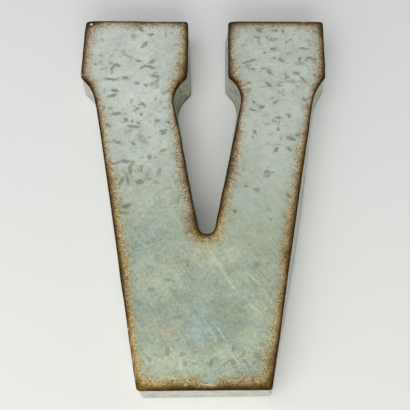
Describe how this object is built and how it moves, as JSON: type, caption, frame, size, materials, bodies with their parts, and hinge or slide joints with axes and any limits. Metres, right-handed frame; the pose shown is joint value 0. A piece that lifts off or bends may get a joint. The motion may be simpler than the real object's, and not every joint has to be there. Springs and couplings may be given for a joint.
{
  "type": "hollow sheet-metal letter sign",
  "caption": "Hollow capital letter V with slab serifs in galvanised sheet steel, with rusted edges, soldered side walls, an open back and keyhole hanger straps.",
  "frame": {"origin": "centre of the letter's bounding box, in the plane of its rear rim", "axes": "+Y towards the top of the letter, +Z out of its face, +X to the reader's right"},
  "size_m": [0.201, 0.3065, 0.0293],
  "materials": {
    "weathered_face": "hot-dip galvanised, dull pale grey-green with dark spangle flecks, dark brown rust along the edges fading inwards",
    "galvanised_wall": "hot-dip galvanised, dull pale grey-green with a faint spangle",
    "strap_steel": "zinc-plated strip, satin",
    "solder": "dull grey tin solder"
  },
  "bodies": {
    "root": {"face_plate": "weathered_face", "left_outer_return": "galvanised_wall", "right_outer_return": "galvanised_wall", "inner_return": "galvanised_wall", "left_cap_return": "galvanised_wall", "right_cap_return": "galvanised_wall", "foot_return": "galvanised_wall", "left_hanger_strap": "strap_steel", "right_hanger_strap": "strap_steel", "top_left_seam": "solder", "gap_left_seam": "solder", "gap_right_seam": "solder", "top_right_seam": "solder", "foot_left_seam": "solder", "foot_right_seam": "solder", "left_strap_outer_solder_lower": "solder", "left_strap_outer_solder_upper": "solder", "left_strap_inner_solder_lower": "solder", "left_strap_inner_solder_upper": "solder", "right_strap_outer_solder_lower": "solder", "right_strap_outer_solder_upper": "solder", "right_strap_inner_solder_lower": "solder", "right_strap_inner_solder_upper": "solder", "left_outer_tack_1": "solder", "left_outer_tack_2": "solder", "left_outer_tack_3": "solder", "left_outer_tack_4": "solder", "left_outer_tack_5": "solder", "right_outer_tack_1": "solder", "right_outer_tack_2": "solder", "right_outer_tack_3": "solder", "right_outer_tack_4": "solder", "right_outer_tack_5": "solder", "inner_tack_1": "solder", "inner_tack_2": "solder", "inner_tack_3": "solder", "inner_tack_4": "solder", "inner_tack_5": "solder", "inner_tack_6": "solder", "inner_tack_7": "solder", "left_cap_tack_1": "solder", "right_cap_tack_1": "solder", "foot_tack_1": "solder"}
  },
  "joints": []
}
